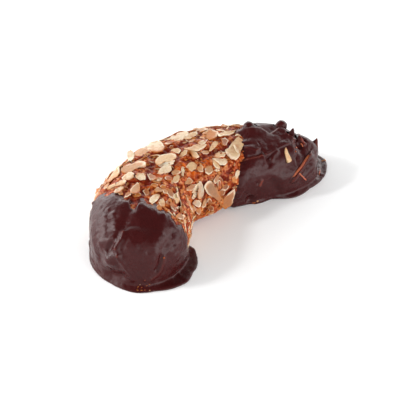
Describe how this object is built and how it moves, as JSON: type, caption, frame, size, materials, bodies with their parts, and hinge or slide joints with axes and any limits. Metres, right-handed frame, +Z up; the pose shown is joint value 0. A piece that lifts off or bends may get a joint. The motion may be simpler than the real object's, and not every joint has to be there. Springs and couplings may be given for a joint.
{
  "type": "almond crescent cookie",
  "caption": "Crescent-shaped almond biscuit with a crust of flaked almonds, both ends dipped in dark chocolate that has set in a thin foot.",
  "frame": {"origin": "centre of the bounding box's footprint, on the surface that the biscuit lies on", "axes": "+X from the blunt tip to the slim tip, +Y to the outside of the bend, +Z up"},
  "size_m": [0.133, 0.0651, 0.0287],
  "materials": {
    "baked_almond": "caramel-brown baked almond paste with a light glaze, covered in pale flaked almonds",
    "dark_chocolate": "set dark chocolate with a soft gloss, lumpy over the almonds under it"
  },
  "bodies": {
    "root": {"almond_crescent": "baked_almond", "chocolate_blunt_end": "dark_chocolate", "chocolate_slim_end": "dark_chocolate"}
  },
  "joints": []
}
